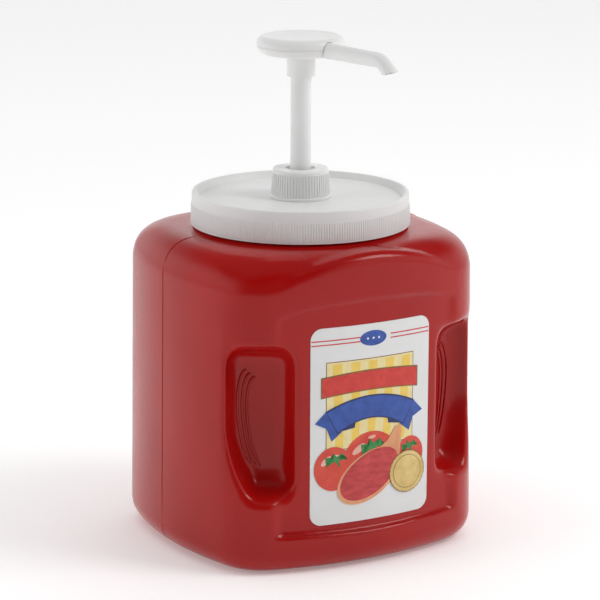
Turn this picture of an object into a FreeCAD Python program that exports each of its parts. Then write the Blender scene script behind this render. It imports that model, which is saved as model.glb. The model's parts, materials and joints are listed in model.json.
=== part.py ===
"""Condiment pump dispenser: a square-shouldered jug, a wide screw lid and a push pump.

Millimetres, +Z up. The origin is the centre of the base, on the table. The label faces -Y.
"""
import FreeCAD, Part
import math
import os

V = FreeCAD.Vector
UP = V(0, 0, 1)

# ---- jug: driving dimensions ---------------------------------------------------------------
JUG_WIDTH = 159.8            # across X, at the widest, just above the base roll
JUG_DEPTH = 152.4            # across Y
FACE_BOW_R = 173.0           # radius of the slightly bowed faces, seen from above
CORNER_R = 29.8              # vertical corners, seen from above
TAPER = 0.0192               # share by which the plan is smaller at the shoulder's start
BASE_ROLL_R = 12.4
SHOULDER_START_Z = 143.0
SHOULDER_HEIGHT = 17.4
SHOULDER_CURVE = (           # share of the height, inset, and how much rounder the corners are
    (0.30, 0.9, 2.0), (0.62, 3.6, 6.5), (0.85, 8.4, 12.5), (0.96, 14.5, 19.0))
JUG_WALL = 2.0
PUSH_UP_INSET = 9.0          # width of the ring that the jug stands on
PUSH_UP_HEIGHT = 2.4

BROW_MARGIN = 25.9           # from the jug's side to the arched top edge of the front face
BROW_SIDE_RISE = 3.5         # the edge's height at its sides, above the shoulder's start
BROW_TOP_DROP = 0.2          # its middle, below the shoulder's top
BROW_EDGE_R = 5.0

PANEL_INSET = 3.3            # label panel, below the widest front face
PANEL_BOW_R = 185.0
PANEL_MARGIN = 30.9          # from the jug's side to the panel's floor
PANEL_Z0 = 19.2
PANEL_SIDE_DROP = 12.0       # its arched top below the shoulder's start, at the sides
PANEL_TOP_DROP = 6.2         # and in the middle
PANEL_WALL_RUN = 0.15        # run of the panel's sloped top and bottom walls per mm of depth
PANEL_SIDE_RUN = 4.0         # the same for its sides, which fade into the corners

GRIP_ANGLE = 59.3            # direction into a grip recess, in degrees from the X axis
GRIP_MARGIN = (22.6, 15.8)   # middle of the recess's mouth, in from the jug's side and front
GRIP_HALF = 17.4
GRIP_Z0 = 39.0
GRIP_TOP_DROP = 28.0         # below the shoulder's start
GRIP_CORNER_R = 8.0
GRIP_SLOPE_Z = 76.0          # the outer side slants inwards below this height
GRIP_DEPTH = 13.0
GRIP_MOUTH_RISE = 8.0        # the cutter starts this far outside the mouth's middle plane
GRIP_DRAFT = 0.22
GRIP_FLOOR_R = 9.0           # round from the walls into the floor

# ---- neck finish and lid -------------------------------------------------------------------
NECK_R = 52.8
NECK_WALL = 2.2
NECK_HEIGHT = 11.1           # above the shoulder's top
NECK_RING_PROUD = 2.8
NECK_RING_DROP = 1.2         # the ring's underside below the shoulder's top
NECK_RING_HEIGHT = 2.0
LID_PITCH = 5.08
THREAD_GAP = 0.3             # between crests and the wall they face
LID_THREAD_DEPTH = 1.3
LID_THREAD_BASE = 2.0
LID_THREAD_CREST = 1.0
NECK_THREAD_RISE = 3.9       # first turn above the shoulder's top
NECK_THREAD_TURNS = 1.1
LID_THREAD_TURNS = 1.0

LID_SHOULDER_GAP = 1.6       # between the shoulder's top and the skirt's edge
LID_WALL = 1.6               # of the skirt, at its edge
LID_DRAFT = 0.67             # the lid is this much smaller in radius at the rim
LID_DECK = 2.0
LID_RIM_HEIGHT = 3.4         # above the deck
LID_RIM_WIDTH = 2.3
LID_RIM_SLOPE = 1.4          # sideways run of the rim's inner side down to the deck
LID_RIM_R = 0.9
LINER_THICK = 1.5
LINER_LAP = 0.8              # inwards past the neck's bore

# ---- label ---------------------------------------------------------------------------------
LABEL_WIDTH = 68.2
LABEL_FOOT_GAP = 4.3         # above the panel's lower edge
LABEL_HEAD_GAP = 6.7         # below the panel's upper edge at its sides
LABEL_CORNER_R = 6.0
LABEL_THICK = 0.3

# ---- pump ----------------------------------------------------------------------------------
STEM_R = 5.3
STEM_WALL = 1.9
RUNNING_GAP = 0.05           # radial clearance of a sliding or turning fit
STATIC_GAP = 0.3             # between faces that only pass each other
STROKE = 42.0
STROKE_SPARE = 5.1           # left between the head and the collar at the end of the stroke

BORE_R = 13.5                # pump cylinder
CYLINDER_WALL = 1.8
CYLINDER_LENGTH = 82.6
SHOULDER_PROUD = 2.2
SHOULDER_THICK = 3.0
GASKET_THICK = 1.4
PUMP_NECK_R = 11.3
PUMP_NECK_WALL = 1.5
PUMP_NECK_RISE = 12.5        # above the lid's deck
PUMP_PITCH = 4.0
PUMP_THREAD_DEPTH = 1.0
PUMP_THREAD_BASE = 1.7
PUMP_THREAD_CREST = 0.8
PUMP_THREAD_RISE = 3.2       # first turn above the lid's deck
PUMP_THREAD_TURNS = 1.4

COLLAR_HEIGHT = 14.9
COLLAR_WALL = 1.65           # at the top
COLLAR_DRAFT = 0.85
COLLAR_FLANGE_PROUD = 0.4
COLLAR_FLANGE = 1.4
COLLAR_BAND = 2.2            # smooth band above the ribs
COLLAR_RIBS = 60
COLLAR_RIB_DEPTH = 0.35
COLLAR_LID_GAP = 0.1

GUIDE_FLANGE = 1.2
GUIDE_DEPTH = 7.0
WIPER_WIDTH = 1.7
WIPER_HEIGHT = 2.0
WIPER_COLLAR_GAP = 0.6       # around the wiper, in the collar's top

PISTON_HEIGHT = 14.0
PISTON_GAP = 0.6             # between the piston's lands and the cylinder
PISTON_HUB_WALL = 2.45
PISTON_HUB_HEIGHT = 9.7
PISTON_INLET_R = 2.8
PISTON_FLOOR = 2.2
STEM_SOCKET_DEPTH = 12.0
SEAL_DEPTH = 1.5
SEAL_Z = (3.4, 9.4)          # above the piston's underside
OUTLET_BALL_GAP = 1.2        # around the ball, in its chamber
OUTLET_BALL_LIFT = 1.2       # least rise of the ball from its cone to its cage
OUTLET_CAGE = 1.2

INLET_PLUG_HEIGHT = 10.5
INLET_CHAMBER_R = 6.0
INLET_BORE_R = 3.2
INLET_BALL_R = 4.6
INLET_FLANGE = 2.0
INLET_CAGE = 2.0
DIP_TUBE_R = 5.0
DIP_TUBE_WALL = 1.2
DIP_SOCKET_WALL = 2.6
DIP_SOCKET_DEPTH = 16.0
DIP_TUBE_FLOOR_GAP = 3.1
DIP_TUBE_CUT_DEG = 35.0

SPRING_GAP = 2.35            # between the coil and the cylinder
SPRING_WIRE_R = 0.75
SPRING_TURNS = 6.0
WIRE_SIDES = 12              # the wire's section is a fine polygon

# ---- head ----------------------------------------------------------------------------------
PALM_R = 22.6
BOSS_HEIGHT = 11.2           # under the palm disc
PALM_BASE_HEIGHT = 4.4
PALM_CAP_HEIGHT = 5.0
PALM_TOP_INSET = 3.2         # from the disc's side to its flat top
PALM_DISH = 0.7
PALM_WALL = 1.5
PALM_SPLIT_CHAMFER = 0.3
BOSS_WALL = 0.9
SLEEVE_WALL = 1.0            # of the spout's sleeve around the stem
SLEEVE_DEPTH = 6.0           # below the disc's floor
SPOUT_AZIMUTH = 10.0         # swivel of the spout from -Y at rest, towards +X
SPOUT_DROP = 0.5             # of its axis, below the line where the disc's shells meet
SPOUT_ROOT_R = 4.25
SPOUT_END_R = 3.8
SPOUT_BORE_ROOT_R = 2.9
SPOUT_BORE_R = 2.6
SPOUT_RUN = 57.5             # from the axis to the start of the bend
SPOUT_BEND_R = 10.0
SPOUT_BEND_DEG = 40.0
SPOUT_TIP = 5.0              # from the bend to the cut, on the centre line
SPOUT_CUT_DEG = 18.2         # slope of the cut at the tip
STEM_TOP_DROP = 2.2          # below the spout's axis

# ---- places worked out from the sizes above ------------------------------------------------
HALF_W = JUG_WIDTH / 2
HALF_D = JUG_DEPTH / 2
SHOULDER_TOP_Z = SHOULDER_START_Z + SHOULDER_HEIGHT
BROW_HALF = HALF_W - BROW_MARGIN
BROW_SIDE_Z = SHOULDER_START_Z + BROW_SIDE_RISE
BROW_TOP_Z = SHOULDER_TOP_Z - BROW_TOP_DROP
PANEL_HALF = HALF_W - PANEL_MARGIN
PANEL_Y = HALF_D - PANEL_INSET
PANEL_SIDE_Z = SHOULDER_START_Z - PANEL_SIDE_DROP
PANEL_TOP_Z = SHOULDER_START_Z - PANEL_TOP_DROP
GRIP_Z1 = SHOULDER_START_Z - GRIP_TOP_DROP
LABEL_Z0 = PANEL_Z0 + LABEL_FOOT_GAP
LABEL_Z1 = PANEL_SIDE_Z - LABEL_HEAD_GAP

NECK_BORE_R = NECK_R - NECK_WALL
NECK_RING_R = NECK_R + NECK_RING_PROUD
NECK_RING_Z0 = SHOULDER_TOP_Z - NECK_RING_DROP
NECK_TOP_Z = SHOULDER_TOP_Z + NECK_HEIGHT
NECK_THREAD_Z = SHOULDER_TOP_Z + NECK_THREAD_RISE
LID_SKIRT_R = NECK_R + LID_THREAD_DEPTH + THREAD_GAP
LID_R_BOTTOM = LID_SKIRT_R + LID_WALL
LID_R_TOP = LID_R_BOTTOM - LID_DRAFT
LID_BOTTOM_Z = SHOULDER_TOP_Z + LID_SHOULDER_GAP
LID_UNDER_Z = NECK_TOP_Z + LINER_THICK
LID_DECK_Z = LID_UNDER_Z + LID_DECK
LID_RIM_Z = LID_DECK_Z + LID_RIM_HEIGHT

CYLINDER_R = BORE_R + CYLINDER_WALL
SHOULDER_R = CYLINDER_R + SHOULDER_PROUD
SHOULDER_TOP = LID_UNDER_Z - GASKET_THICK
CYLINDER_TOP_Z = SHOULDER_TOP - SHOULDER_THICK
CYLINDER_BOTTOM_Z = CYLINDER_TOP_Z - CYLINDER_LENGTH
PUMP_NECK_BORE_R = PUMP_NECK_R - PUMP_NECK_WALL
PUMP_NECK_TOP_Z = LID_DECK_Z + PUMP_NECK_RISE
PUMP_NECK_THREAD_Z = LID_DECK_Z + PUMP_THREAD_RISE
PUMP_CREST_R = PUMP_NECK_R + PUMP_THREAD_DEPTH
COLLAR_BORE_R = PUMP_CREST_R + THREAD_GAP
COLLAR_R_TOP = COLLAR_BORE_R + COLLAR_WALL
COLLAR_R_BOTTOM = COLLAR_R_TOP + COLLAR_DRAFT
COLLAR_Z0 = LID_DECK_Z + COLLAR_LID_GAP
COLLAR_TOP_Z = COLLAR_Z0 + COLLAR_HEIGHT
GUIDE_TOP_Z = PUMP_NECK_TOP_Z + GUIDE_FLANGE
STEM_BORE_R = STEM_R - STEM_WALL
WIPER_R = STEM_R + WIPER_WIDTH
COLLAR_TOP_HOLE_R = WIPER_R + WIPER_COLLAR_GAP

PISTON_R = BORE_R - PISTON_GAP
SEAL_GROOVE_R = PISTON_R - SEAL_DEPTH
PISTON_HUB_R = STEM_R + RUNNING_GAP + PISTON_HUB_WALL
PISTON_TOP_Z = CYLINDER_TOP_Z - STATIC_GAP
PISTON_Z = PISTON_TOP_Z - PISTON_HEIGHT
HUB_TOP_Z = PISTON_TOP_Z + PISTON_HUB_HEIGHT
STEM_BOTTOM_Z = HUB_TOP_Z - STEM_SOCKET_DEPTH
OUTLET_CHAMBER_R = STEM_R - 0.1
OUTLET_ROOM = STEM_BOTTOM_Z - OUTLET_CAGE - PISTON_Z - PISTON_FLOOR
OUTLET_BALL_R = min(         # the chamber's width or its height sets the ball's size
    OUTLET_CHAMBER_R - OUTLET_BALL_GAP,
    (OUTLET_ROOM - OUTLET_BALL_LIFT + PISTON_INLET_R) / (1 + math.sqrt(2)))
INLET_TOP_Z = CYLINDER_BOTTOM_Z + INLET_PLUG_HEIGHT
INLET_FLANGE_Z = CYLINDER_BOTTOM_Z - INLET_FLANGE
DIP_TUBE_TOP_Z = INLET_FLANGE_Z - 2.0
DIP_TUBE_BOTTOM_Z = PUSH_UP_HEIGHT + JUG_WALL + DIP_TUBE_FLOOR_GAP
SPRING_R = BORE_R - SPRING_GAP - SPRING_WIRE_R
SPRING_Z0 = INLET_TOP_Z + INLET_CAGE

BOSS_BOTTOM_Z = COLLAR_TOP_Z + STROKE + STROKE_SPARE
PALM_BOTTOM_Z = BOSS_BOTTOM_Z + BOSS_HEIGHT
PALM_FLOOR_Z = PALM_BOTTOM_Z + PALM_WALL
PALM_SPLIT_Z = PALM_BOTTOM_Z + PALM_BASE_HEIGHT
PALM_TOP_Z = PALM_SPLIT_Z + PALM_CAP_HEIGHT
PALM_TOP_R = PALM_R - PALM_TOP_INSET
PALM_CEILING_Z = PALM_TOP_Z - PALM_DISH - PALM_WALL
SLEEVE_R = STEM_R + SLEEVE_WALL
SLEEVE_Z = PALM_BOTTOM_Z - SLEEVE_DEPTH
BOSS_R = SLEEVE_R + BOSS_WALL
SPOUT_Z = PALM_SPLIT_Z - SPOUT_DROP
STEM_TOP_Z = SPOUT_Z - STEM_TOP_DROP


# ---- general shapes ------------------------------------------------------------------------
def revolve(path):
    """Solid of revolution about Z. A pair is a corner (r, z); four numbers are an arc's middle and end."""
    edges = []
    r0, z0 = path[0]
    for step in list(path[1:]) + [path[0]]:
        r1, z1 = step[-2:]
        start, end = V(r0, 0, z0), V(r1, 0, z1)
        if len(step) == 4:
            edges.append(Part.Arc(start, V(step[0], 0, step[1]), end).toShape())
        elif start.distanceToPoint(end) > 1e-6:
            edges.append(Part.makeLine(start, end))
        r0, z0 = r1, z1
    return Part.Face(Part.Wire(edges)).revolve(V(0, 0, 0), UP, 360)


def tube(r_in, r_out, z0, z1):
    """Plain ring or sleeve on the axis."""
    return revolve([(r_in, z0), (r_out, z0), (r_out, z1), (r_in, z1)])


def rod(r, z0, z1, x=0.0, y=0.0):
    """Plain upright cylinder."""
    return Part.makeCylinder(r, z1 - z0, V(x, y, z0))


def fuse(first, *others):
    """One clean solid from touching solids."""
    return first.multiFuse(list(others)).removeSplitter()


def closed_wire(points_and_arcs, place):
    """Wire of lines and arcs in a plane; place turns a pair into a point in space."""
    edges = []
    here = points_and_arcs[0]
    for step in list(points_and_arcs[1:]) + [points_and_arcs[0]]:
        end = step[-2:]
        if len(step) == 4:
            edges.append(Part.Arc(place(*here), place(*step[:2]), place(*end)).toShape())
        else:
            edges.append(Part.makeLine(place(*here), place(*end)))
        here = end
    return Part.Wire(edges)


def helical_ridge(wall_r, depth, base, crest, pitch, turns, z_start):
    """Thread ridge on a wall: outwards for a positive depth, inwards for a negative one."""
    sink = math.copysign(0.25, -depth)
    spine = Part.makeHelix(pitch, pitch * turns, wall_r)
    corners = [
        V(wall_r + sink, 0, -base / 2),
        V(wall_r + depth, 0, -crest / 2),
        V(wall_r + depth, 0, crest / 2),
        V(wall_r + sink, 0, base / 2),
    ]
    profile = Part.makePolygon(corners + corners[:1])
    ridge = Part.Wire(spine.Edges).makePipeShell([profile], True, True)
    ridge.translate(V(0, 0, z_start))
    return ridge


def toothed_cone(r0, z0, r1, z1, teeth, depth):
    """Upright ribbed cone with square ribs."""
    wires = []
    for r, z in ((r0, z0), (r1, z1)):
        corners = []
        for tooth in range(teeth):
            for share, level in ((0.0, r), (0.5, r), (0.5, r - depth), (1.0, r - depth)):
                angle = 2 * math.pi * (tooth + share) / teeth
                corners.append(V(level * math.cos(angle), level * math.sin(angle), z))
        wires.append(Part.makePolygon(corners + corners[:1]))
    return Part.makeLoft(wires, True, True)


# ---- jug -----------------------------------------------------------------------------------
def bowed_section(z, half_w, half_d, corner_r):
    """Wire at height z: four bowed faces joined by tangent corner arcs."""
    p, q, reach = FACE_BOW_R - half_w, FACE_BOW_R - half_d, FACE_BOW_R - corner_r
    span = math.hypot(p, q)
    rise = math.sqrt(reach ** 2 - (span / 2) ** 2)
    cx, cy = rise * q / span - p / 2, rise * p / span - q / 2
    side, front = math.atan2(cy, cx + p), math.atan2(cy + q, cx)
    middle = (side + front) / 2

    def on_corner(angle):
        return cx + corner_r * math.cos(angle), cy + corner_r * math.sin(angle)

    (x1, y1), (xm, ym), (x2, y2) = on_corner(side), on_corner(middle), on_corner(front)
    outline = [
        (x1, -y1), (half_w, 0, x1, y1), (xm, ym, x2, y2), (0, half_d, -x2, y2),
        (-xm, ym, -x1, y1), (-half_w, 0, -x1, -y1), (-xm, -ym, -x2, -y2),
        (0, -half_d, x2, -y2), (xm, -ym, x1, -y1),
    ]
    return arc_chain(outline, z)


def round_section(z, r):
    """Circle at height z, in eight arcs that match those of a bowed section."""
    ends = (30, 60, 120, 150, 210, 240, 300, 330)
    points = [(r * math.cos(math.radians(a)), r * math.sin(math.radians(a))) for a in ends]
    mids = (45, 90, 135, 180, 225, 270, 315, 0)
    outline = [points[-1]]
    for end, mid in zip(points, mids[-1:] + mids[:-1]):
        angle = math.radians(mid)
        outline.append((r * math.cos(angle), r * math.sin(angle)) + end)
    return arc_chain(outline, z)


def arc_chain(outline, z):
    """Closed wire of arcs at height z, each given by its middle and its end."""
    edges = []
    here = outline[0]
    for xm, ym, x, y in outline[1:]:
        edges.append(Part.Arc(V(*here, z), V(xm, ym, z), V(x, y, z)).toShape())
        here = (x, y)
    return Part.Wire(edges)


def plan(z, inset, corner_extra=0.0):
    """Jug section at height z, inset from the widest plan, with its taper."""
    share = 1 - TAPER * (z - BASE_ROLL_R) / (SHOULDER_START_Z - BASE_ROLL_R)
    corner = max(CORNER_R - inset + corner_extra, 4.0)
    return bowed_section(z, HALF_W * share - inset, HALF_D * share - inset, corner)


def jug_form(wall):
    """Outside of the jug without its recesses, or its inside when wall is above zero."""
    roll = []
    for step in range(6):
        angle = math.radians(90) * step / 5
        z = BASE_ROLL_R - (BASE_ROLL_R - wall) * math.cos(angle)
        inset = wall + (BASE_ROLL_R - wall) * (1 - math.sin(angle))
        roll.append(plan(z, inset) if step == 5 else bowed_section(
            z, HALF_W - inset, HALF_D - inset, max(CORNER_R - inset, 4.0)))
    start, top = SHOULDER_START_Z - wall * 0.4, SHOULDER_TOP_Z - wall
    rise = top - start
    shoulder = [plan(start, wall)]
    for share, inset, corner_extra in SHOULDER_CURVE:
        shoulder.append(plan(start + rise * share, wall + inset, corner_extra))
    shoulder.append(round_section(top, NECK_R + 2.0 - wall))
    base = Part.makeLoft(roll, True, False)
    wall_part = Part.makeLoft([roll[-1], shoulder[0]], True, True)
    top_part = Part.makeLoft(shoulder, True, False)
    return fuse(base, wall_part, top_part)


def front_brow():
    """Arched top of the front face, proud of the shoulder, with a rolled edge."""
    prism = Part.makeLoft([plan(BROW_SIDE_Z - 40.0, 0.0), plan(BROW_TOP_Z + 10.0, 0.0)], True, True)
    low, depth = BROW_SIDE_Z - 26.0, HALF_D * 0.37
    arch = closed_wire(
        [(-BROW_HALF, low), (BROW_HALF, low), (BROW_HALF, BROW_SIDE_Z),
         (0, BROW_TOP_Z, -BROW_HALF, BROW_SIDE_Z)],
        lambda x, z: V(x, depth - HALF_D, z))
    brow = prism.common(Part.Face(arch).extrude(V(0, -2 * depth, 0)))
    top_edges = []
    for edge in brow.Edges:
        middle = edge.valueAt((edge.FirstParameter + edge.LastParameter) / 2)
        if middle.z > BROW_SIDE_Z + 2 and middle.y < -HALF_D * 0.9:
            top_edges.append(edge)
    return brow.makeFillet(BROW_EDGE_R, top_edges)


def panel_cutter(grow):
    """What is cut from the front to make the label panel, larger all round by grow."""
    wires = []
    for y in (11.0 - PANEL_Y, -14.0 - HALF_D):
        out = grow + PANEL_WALL_RUN * (-y - PANEL_Y)
        side_y = PANEL_Y - PANEL_HALF ** 2 / (2 * PANEL_BOW_R)
        side_grow = grow * (math.hypot(1, PANEL_SIDE_RUN) - PANEL_SIDE_RUN)
        half = PANEL_HALF + side_grow + PANEL_SIDE_RUN * (grow - y - side_y)
        low, side, top = PANEL_Z0 - out, PANEL_SIDE_Z + out, PANEL_TOP_Z + out
        wires.append(closed_wire(
            [(-half, low), (half, low), (half, side), (0, top, -half, side)],
            lambda x, z, y=y: V(x, y, z)))
    block = Part.makeLoft(wires, True, True)
    floor_y = PANEL_BOW_R - PANEL_Y + grow
    return block.cut(Part.makeCylinder(PANEL_BOW_R, 300.0, V(0, floor_y, -50.0)))


def grip_cutter(side, grow):
    """Finger recess on a front corner, side -1 or 1, larger all round by grow."""
    angle = math.radians(GRIP_ANGLE)
    inward = V(-side * math.cos(angle), math.sin(angle), 0)
    along = V(-side * math.sin(angle), -math.cos(angle), 0)
    centre = V(side * (HALF_W - GRIP_MARGIN[0]), GRIP_MARGIN[1] - HALF_D, 0)

    def section(depth, shrink):
        out = grow - GRIP_DRAFT * depth - shrink
        half, z0, z1 = GRIP_HALF + out, GRIP_Z0 - out, GRIP_Z1 + out
        r = GRIP_CORNER_R - 0.6 * shrink
        c = r * (1 - math.sqrt(0.5))
        outline = [
            (half, z0 + r), (half, z1 - r), (half - c, z1 - c, half - r, z1),
            (r - half, z1), (c - half, z1 - c, -half, z1 - r), (-half, GRIP_SLOPE_Z),
            (-half * 0.72, (GRIP_SLOPE_Z + z0) / 2 - 3.0, -half * 0.2, z0), (half - r, z0),
            (half - c, z0 + c, half, z0 + r),
        ]
        return chain_wire(outline, lambda u, z: centre + along * u + inward * depth + UP * z)

    floor = GRIP_DEPTH + grow
    bowl = []
    for step in range(5):
        angle = math.radians(90) * step / 4
        bowl.append(section(floor - GRIP_FLOOR_R * (1 - math.sin(angle)),
                            GRIP_FLOOR_R * (1 - math.cos(angle))))
    walls = Part.makeLoft([section(-GRIP_MOUTH_RISE, 0.0), bowl[0]], True, True)
    return fuse(walls, Part.makeLoft(bowl, True, False))


def chain_wire(outline, place):
    """Closed wire whose last step already ends at its first point."""
    edges = []
    here = outline[0]
    for step in outline[1:]:
        end = step[-2:]
        if len(step) == 4:
            edges.append(Part.Arc(place(*here), place(*step[:2]), place(*end)).toShape())
        else:
            edges.append(Part.makeLine(place(*here), place(*end)))
        here = end
    return Part.Wire(edges)


def recessed(form, grow):
    """The form with the label panel and the two finger recesses cut, each larger by grow."""
    for cutter in (panel_cutter(grow), grip_cutter(-1, grow), grip_cutter(1, grow)):
        form = form.cut(cutter)
    return form


def jug_body():
    """Hollow jug with its panel, finger recesses, threaded neck and push-up base."""
    outside = recessed(fuse(jug_form(0.0), front_brow()), 0.0)
    inside = recessed(jug_form(JUG_WALL), JUG_WALL)
    push_up = Part.makeLoft([
        bowed_section(z, HALF_W - inset, HALF_D - inset, CORNER_R)
        for z, inset in ((0.0, BASE_ROLL_R + PUSH_UP_INSET),
                         (PUSH_UP_HEIGHT, BASE_ROLL_R + PUSH_UP_INSET + 6.0))], True, True)
    floor = rod(2 * HALF_W, -1.0, PUSH_UP_HEIGHT + JUG_WALL)
    ring_z0, ring_z1 = NECK_RING_Z0, NECK_RING_Z0 + NECK_RING_HEIGHT
    ring_mid = (ring_z0 + ring_z1) / 2
    neck = revolve([
        (0, SHOULDER_TOP_Z - 4.0), (NECK_R, SHOULDER_TOP_Z - 4.0), (NECK_R, ring_z0),
        (NECK_RING_R - 1.0, ring_z0), (NECK_RING_R, ring_mid, NECK_RING_R - 1.0, ring_z1),
        (NECK_R, ring_z1), (NECK_R, NECK_TOP_Z), (0, NECK_TOP_Z)])
    thread = helical_ridge(NECK_R, LID_THREAD_DEPTH, LID_THREAD_BASE, LID_THREAD_CREST,
                           LID_PITCH, NECK_THREAD_TURNS, NECK_THREAD_Z)
    try:
        whole = outside.multiFuse([neck, thread])
    except ValueError:       # some shoulders take the neck only before the brow is on
        whole = recessed(fuse(fuse(jug_form(0.0), neck, thread), front_brow()), 0.0)
    shell = whole.removeSplitter().cut(inside.cut(floor)).cut(push_up)
    return shell.cut(rod(NECK_BORE_R, SHOULDER_TOP_Z - 6.0, NECK_TOP_Z + 1.0))


def front_label():
    """Paper label with rounded corners on the bowed panel."""
    half, r = LABEL_WIDTH / 2, LABEL_CORNER_R
    c = r * (1 - math.sqrt(0.5))
    z0, z1 = LABEL_Z0, LABEL_Z1
    outline = [
        (half, z0 + r), (half, z1 - r), (half - c, z1 - c, half - r, z1), (r - half, z1),
        (c - half, z1 - c, -half, z1 - r), (-half, z0 + r), (c - half, z0 + c, r - half, z0),
        (half - r, z0), (half - c, z0 + c, half, z0 + r)]
    wire = chain_wire(outline, lambda x, z: V(x, -HALF_D, z))
    block = Part.Face(wire).extrude(V(0, HALF_D / 2, 0))
    axis = V(0, PANEL_BOW_R - PANEL_Y, 0)
    height = LABEL_Z1 + 10.0
    skin = Part.makeCylinder(PANEL_BOW_R + LABEL_THICK, height, axis).cut(
        Part.makeCylinder(PANEL_BOW_R, height, axis))
    return block.common(skin)


# ---- lid -----------------------------------------------------------------------------------
def lid():
    """Screw lid with a raised rim, a sunk deck, a pump hole and a thread inside."""
    hole_r = PUMP_CREST_R + THREAD_GAP
    rim_in = LID_R_TOP - LID_RIM_WIDTH
    c = LID_RIM_R * (1 - math.sqrt(0.5))
    body = revolve([
        (LID_SKIRT_R, LID_BOTTOM_Z), (LID_R_BOTTOM, LID_BOTTOM_Z),
        (LID_R_TOP, LID_RIM_Z - LID_RIM_R),
        (LID_R_TOP - c, LID_RIM_Z - c, LID_R_TOP - LID_RIM_R, LID_RIM_Z),
        (rim_in + LID_RIM_R, LID_RIM_Z), (rim_in + c, LID_RIM_Z - c, rim_in, LID_RIM_Z - LID_RIM_R),
        (rim_in - LID_RIM_SLOPE, LID_DECK_Z), (hole_r, LID_DECK_Z), (hole_r, LID_UNDER_Z),
        (LID_SKIRT_R, LID_UNDER_Z)])
    start = LID_BOTTOM_Z + LID_THREAD_BASE / 2 + 0.2
    thread = helical_ridge(LID_SKIRT_R, -LID_THREAD_DEPTH, LID_THREAD_BASE, LID_THREAD_CREST,
                           LID_PITCH, LID_THREAD_TURNS, start)
    behind = start - (NECK_THREAD_Z - LID_PITCH / 2)
    thread.rotate(V(0, 0, 0), UP, 360 * behind / LID_PITCH)
    return fuse(body, thread)


def lid_liner():
    """Foam ring between the jug's rim and the lid."""
    return tube(NECK_BORE_R - LINER_LAP, LID_SKIRT_R - 0.4, NECK_TOP_Z, LID_UNDER_Z)


def lid_gasket():
    """Soft ring between the pump's shoulder and the lid."""
    return tube(PUMP_CREST_R + THREAD_GAP, SHOULDER_R - 0.5, SHOULDER_TOP, LID_UNDER_Z)


# ---- pump ----------------------------------------------------------------------------------
def pump_collar():
    """Ribbed nut that clamps the pump to the lid."""
    z0, z1 = COLLAR_Z0, COLLAR_TOP_Z
    rib_z0, rib_z1 = z0 + COLLAR_FLANGE, z1 - COLLAR_BAND
    flange_r = COLLAR_R_BOTTOM + COLLAR_FLANGE_PROUD
    share = (rib_z1 - rib_z0) / (z1 - rib_z0)
    rib_r = COLLAR_R_BOTTOM + (COLLAR_R_TOP - COLLAR_R_BOTTOM) * share
    ribs = toothed_cone(COLLAR_R_BOTTOM, rib_z0, rib_r, rib_z1, COLLAR_RIBS, COLLAR_RIB_DEPTH)
    flange = revolve([
        (0, z0), (flange_r, z0), (flange_r, rib_z0 - 0.4),
        (COLLAR_R_BOTTOM, rib_z0), (0, rib_z0)])
    band = revolve([
        (0, rib_z1), (rib_r, rib_z1), (COLLAR_R_TOP, z1 - 0.6),
        (COLLAR_R_TOP - 0.6, z1), (0, z1)])
    bore = rod(COLLAR_BORE_R, z0 - 1.0, GUIDE_TOP_Z)
    nut = fuse(flange, ribs, band).cut(bore).cut(rod(COLLAR_TOP_HOLE_R, z0, z1 + 1.0))
    offset = -PUMP_PITCH / 2
    ridge = helical_ridge(COLLAR_BORE_R, -PUMP_THREAD_DEPTH, PUMP_THREAD_BASE, PUMP_THREAD_CREST,
                          PUMP_PITCH, PUMP_THREAD_TURNS, PUMP_NECK_THREAD_Z + offset)
    return fuse(nut, ridge)


def stem_guide():
    """Bush in the pump's neck that the stem slides and turns in."""
    bore, outer = STEM_R + RUNNING_GAP, PUMP_NECK_BORE_R - RUNNING_GAP
    foot = PUMP_NECK_TOP_Z - GUIDE_DEPTH
    return revolve([
        (bore, foot), (outer, foot), (outer, PUMP_NECK_TOP_Z), (PUMP_NECK_R, PUMP_NECK_TOP_Z),
        (PUMP_NECK_R, GUIDE_TOP_Z), (WIPER_R, GUIDE_TOP_Z), (WIPER_R, GUIDE_TOP_Z - WIPER_HEIGHT),
        (bore, GUIDE_TOP_Z - WIPER_HEIGHT)])


def stem_wiper():
    """Soft ring that wipes the stem, in the bush's counterbore."""
    z0, z1 = GUIDE_TOP_Z - WIPER_HEIGHT, GUIDE_TOP_Z + 0.4
    bore = STEM_R + RUNNING_GAP
    return revolve([(bore, z0), (WIPER_R, z0), (WIPER_R, z1 - 0.8), (bore + 0.5, z1), (bore, z1)])


def pump_housing():
    """Cylinder with a shoulder under the lid and a threaded neck through it."""
    body = revolve([
        (BORE_R, CYLINDER_BOTTOM_Z), (CYLINDER_R, CYLINDER_BOTTOM_Z), (CYLINDER_R, CYLINDER_TOP_Z),
        (SHOULDER_R, CYLINDER_TOP_Z), (SHOULDER_R, SHOULDER_TOP), (PUMP_NECK_R, SHOULDER_TOP),
        (PUMP_NECK_R, PUMP_NECK_TOP_Z), (PUMP_NECK_BORE_R, PUMP_NECK_TOP_Z),
        (PUMP_NECK_BORE_R, CYLINDER_TOP_Z), (BORE_R, CYLINDER_TOP_Z)])
    ridge = helical_ridge(PUMP_NECK_R, PUMP_THREAD_DEPTH, PUMP_THREAD_BASE, PUMP_THREAD_CREST,
                          PUMP_PITCH, PUMP_THREAD_TURNS, PUMP_NECK_THREAD_Z)
    return fuse(body, ridge)


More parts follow.
